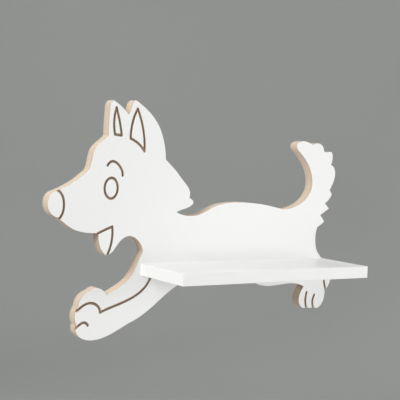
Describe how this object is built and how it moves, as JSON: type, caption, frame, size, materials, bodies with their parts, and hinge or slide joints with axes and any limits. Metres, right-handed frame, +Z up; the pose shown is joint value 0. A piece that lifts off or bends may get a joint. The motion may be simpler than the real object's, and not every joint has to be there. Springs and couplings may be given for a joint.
{
  "type": "children's wall shelf",
  "caption": "Wall shelf for a child's room: a flat board cut in the outline of a running dog with routed line art, carrying one white shelf board.",
  "frame": {"origin": "on the panel's rear face, the wall plane, midway between the keyhole entries of the two hanger plates", "axes": "+Z up, +Y into the wall, +X from the dog's nose towards its tail; the shelf stands out towards -Y"},
  "size_m": [0.52, 0.138, 0.35],
  "materials": {
    "panel_board": "raw cut edge of fibreboard",
    "shelf_board": "raw cut edge of fibreboard",
    "white_melamine": "satin",
    "white_edge_band": "satin",
    "fixing_steel": "bright zinc plate",
    "plate_steel": "bright zinc plate",
    "beech": "bare"
  },
  "bodies": {
    "root": {"panel_core": "panel_board", "panel_front_facing": "white_melamine", "panel_rear_facing": "white_melamine", "facing_nose": "white_melamine", "facing_eye": "white_melamine", "facing_near_ear": "white_melamine", "facing_far_ear": "white_melamine", "facing_tongue": "white_melamine", "shelf_core": "shelf_board", "shelf_top_facing": "white_melamine", "shelf_under_facing": "white_melamine", "shelf_front_band": "white_edge_band", "shelf_left_band": "white_edge_band", "shelf_right_band": "white_edge_band", "shelf_screw_1": "fixing_steel", "shelf_screw_2": "fixing_steel", "shelf_screw_3": "fixing_steel", "dowel_1": "beech", "dowel_2": "beech", "hanger_plate_left": "plate_steel", "hanger_plate_right": "plate_steel", "hanger_screw_left_lower": "fixing_steel", "hanger_screw_left_upper": "fixing_steel", "hanger_screw_right_lower": "fixing_steel", "hanger_screw_right_upper": "fixing_steel"}
  },
  "joints": []
}
